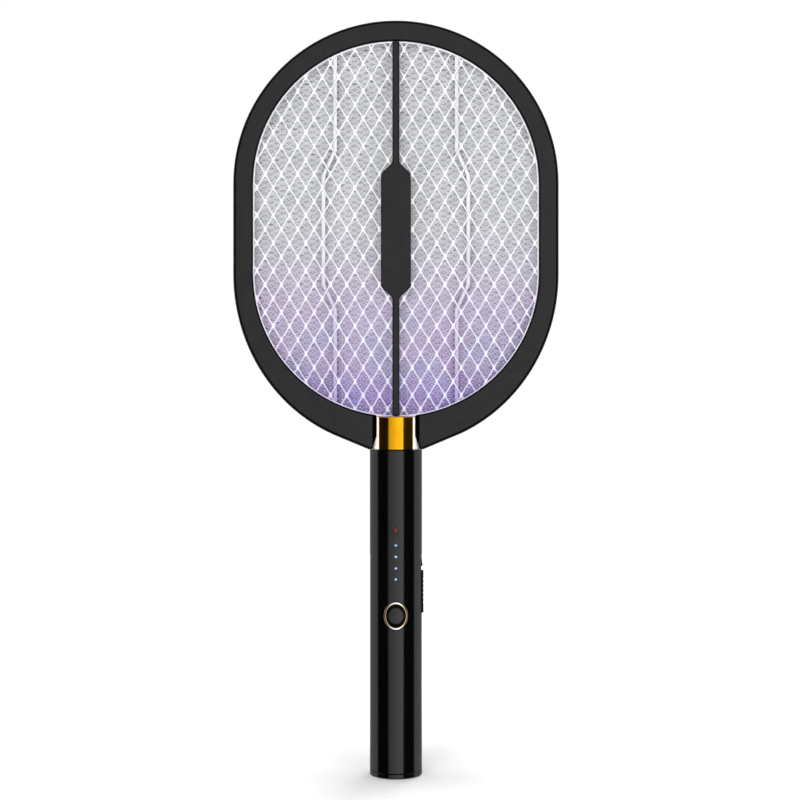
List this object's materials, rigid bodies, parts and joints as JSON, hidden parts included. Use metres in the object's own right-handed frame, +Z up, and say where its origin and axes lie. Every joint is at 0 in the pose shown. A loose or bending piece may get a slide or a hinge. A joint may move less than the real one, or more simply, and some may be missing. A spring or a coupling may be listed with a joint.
{
  "type": "electric fly swatter",
  "caption": "Racket-shaped electric fly swatter: diamond nets in an oval ring, gilt neck collar, round black handle with push button, side switch and lights.",
  "frame": {"origin": "centre of the flat end face of the handle", "axes": "+Z up the length of the swatter from handle to head, -Y out of the front with the push button, +X towards the side switch"},
  "size_m": [0.2068, 0.034, 0.4803],
  "materials": {
    "charcoal_shell": "satin charcoal moulding",
    "gloss_black": "piano black",
    "gilt": "polished gilt",
    "net_steel": "bright satin wire",
    "spacer_white": "milky white",
    "steel": "zinc plated",
    "board": "green solder mask",
    "component_black": "moulded epoxy",
    "inner_plastic": "grey moulding",
    "ferrite": "sintered ferrite",
    "copper": "enamelled wire",
    "film_red": "dipped film capacitor",
    "cell_wrap": "shrink wrap",
    "nickel": "nickel strip",
    "violet_lens": "tinted clear epoxy",
    "red_lens": "red clear plastic",
    "ice_lens": "clear plastic",
    "wire_red": "insulated wire",
    "wire_black": "insulated wire",
    "wire_white": "insulated wire",
    "resistor_tan": "lacquered ceramic"
  },
  "bodies": {
    "handle": {"front_ring_shell": "charcoal_shell", "rear_ring_shell": "charcoal_shell", "front_net": "net_steel", "rear_net": "net_steel", "inner_grid": "net_steel", "front_spacer_frame": "spacer_white", "rear_spacer_frame": "spacer_white", "front_centre_bar": "charcoal_shell", "rear_centre_bar": "charcoal_shell", "ring_screw_1": "steel", "ring_screw_2": "steel", "ring_screw_3": "steel", "ring_screw_4": "steel", "ring_screw_5": "steel", "ring_screw_6": "steel", "lamp_board_left": "board", "lamp_board_right": "board", "uv_led_1": "violet_lens", "uv_led_2": "violet_lens", "uv_led_3": "violet_lens", "uv_led_4": "violet_lens", "neck_collar": "gilt", "neck_screw_1": "steel", "neck_screw_2": "steel", "front_net_lead": "wire_black", "inner_grid_lead": "wire_red", "rear_net_lead": "wire_black", "lamp_lead_left": "wire_white", "lamp_lead_right": "wire_white", "handle_tube": "gloss_black", "end_cap": "gloss_black", "end_cap_screw": "steel", "usb_socket": "steel", "charge_board": "board", "power_light_lens": "red_lens", "level_light_guide": "ice_lens", "button_trim_ring": "gilt", "tact_switch_case": "component_black", "slider_track": "gloss_black", "slide_switch_case": "steel", "chassis": "inner_plastic", "main_board": "board", "control_chip": "component_black", "battery_cell": "cell_wrap", "battery_tab_negative": "nickel", "battery_tab_positive": "nickel", "transformer_core": "ferrite", "transformer_winding": "copper", "hv_capacitor_1": "film_red", "hv_capacitor_2": "film_red", "hv_capacitor_3": "film_red", "rectifier_diode_1": "component_black", "rectifier_diode_2": "component_black", "bleed_resistor": "resistor_tan"},
    "button": {"button_cap": "gloss_black"},
    "switch_plunger": {"tact_switch_plunger": "wire_white"},
    "slider": {"slider_pad": "gloss_black", "slide_switch_actuator": "component_black"}
  },
  "joints": [
    {"name": "button_press", "type": "slide", "parent": "handle", "child": "button", "axis": [0, 1, 0], "range_m": [0, 0.0006], "stiffness_N_per_m": 400, "springref_m": -0.0005},
    {"name": "plunger_press", "type": "slide", "parent": "handle", "child": "switch_plunger", "axis": [0, 1, 0], "range_m": [0, 0.0006]},
    {"name": "power_slide", "type": "slide", "parent": "handle", "child": "slider", "axis": [0, 0, 1], "range_m": [0, 0.0024]}
  ],
  "couplings": [
    {"joint": "plunger_press", "follows": "button_press", "ratio": 1}
  ]
}
